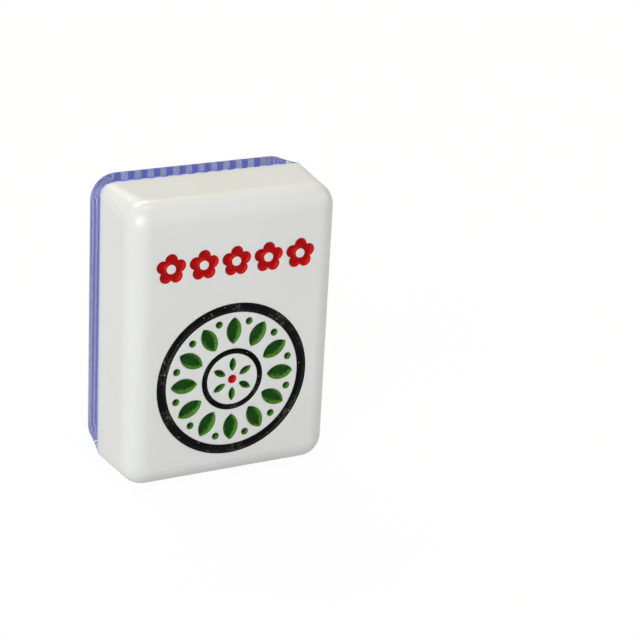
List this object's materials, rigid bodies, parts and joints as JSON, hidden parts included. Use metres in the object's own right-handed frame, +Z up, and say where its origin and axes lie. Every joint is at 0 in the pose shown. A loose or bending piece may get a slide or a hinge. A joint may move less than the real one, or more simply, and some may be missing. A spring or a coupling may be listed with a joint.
{
  "type": "mahjong tile",
  "caption": "Mahjong tile standing on its short end: white engraved and painted face block bonded to a clear rounded back over a blue-striped print.",
  "frame": {"origin": "middle of the base, at the centre of the bounding box's bottom", "axes": "+Z up along the tile's height, -Y out of the engraved face, +Y out of the clear back, +X across the width"},
  "size_m": [0.0222, 0.0126, 0.03],
  "materials": {
    "white_acrylic": "polished creamy white acrylic",
    "black_paint": "glossy black paint in the grooves",
    "green_paint": "glossy dark green paint in the grooves",
    "red_paint": "glossy red paint in the grooves",
    "clear_adhesive": "clear cured adhesive",
    "pale_ink": "pale lavender blue printing ink",
    "blue_ink": "strong blue printing ink",
    "clear_acrylic": "polished clear acrylic",
    "silver_foil": "bright hot-stamped silver foil"
  },
  "bodies": {
    "root": {"face_block": "white_acrylic", "ring_paint": "black_paint", "small_ring_paint": "black_paint", "petal_paint": "green_paint", "bead_paint": "green_paint", "heart_paint": "green_paint", "dot_paint": "red_paint", "blossom_paint": "red_paint", "bond_layer": "clear_adhesive", "print_ground": "pale_ink", "blue_stripes": "blue_ink", "back_cap": "clear_acrylic", "foil_stalk": "silver_foil", "foil_leaves": "silver_foil"}
  },
  "joints": []
}
